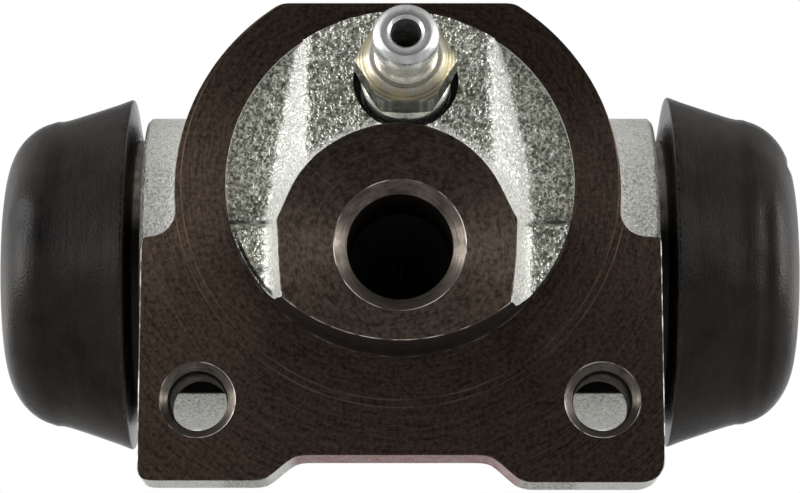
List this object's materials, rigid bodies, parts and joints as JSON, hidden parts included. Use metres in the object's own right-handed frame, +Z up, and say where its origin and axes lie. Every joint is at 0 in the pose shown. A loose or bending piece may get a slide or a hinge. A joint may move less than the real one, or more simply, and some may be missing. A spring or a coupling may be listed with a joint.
{
  "type": "wheel cylinder",
  "caption": "Hydraulic drum brake wheel cylinder: cast housing with mounting flange, inlet boss and bleed screw, and opposed pistons under rubber dust boots.",
  "frame": {"origin": "on the mounting face, midway between the two bolt holes", "axes": "+X along the bore to the right as seen from the mounting side, +Y from the mounting face towards the drum, +Z up towards the bleed screw"},
  "size_m": [0.072, 0.0437, 0.0422],
  "materials": {
    "housing_iron": "zinc plated, rough as cast, machined faces dark",
    "bleeder_steel": "bright zinc plated, turned",
    "boot_rubber": "matt moulded",
    "piston_aluminium": "turned and anodised",
    "cup_rubber": "smooth moulded",
    "expander_steel": "pressed and plated",
    "spring_steel": "drawn wire"
  },
  "bodies": {
    "housing_body": {"housing": "housing_iron", "left_boot": "boot_rubber", "right_boot": "boot_rubber", "spring": "spring_steel"},
    "bleeder_body": {"bleeder_screw": "bleeder_steel"},
    "left_piston_body": {"left_piston": "piston_aluminium", "left_cup": "cup_rubber", "left_expander": "expander_steel"},
    "right_piston_body": {"right_piston": "piston_aluminium", "right_cup": "cup_rubber", "right_expander": "expander_steel"}
  },
  "joints": [
    {"name": "left_piston_slide", "type": "slide", "parent": "housing_body", "child": "left_piston_body", "axis": [-1, 0, 0], "range_m": [-0.003, 0.006], "deforming": ["left_boot", "spring"]},
    {"name": "right_piston_slide", "type": "slide", "parent": "housing_body", "child": "right_piston_body", "axis": [1, 0, 0], "range_m": [-0.003, 0.006], "deforming": ["right_boot"]},
    {"name": "bleeder_turn", "type": "hinge", "parent": "housing_body", "child": "bleeder_body", "pos_m": [0.0005, -0.0013, 0.0279], "axis": [0, -0.9816, 0.1908], "range_deg": [0, 360]}
  ]
}
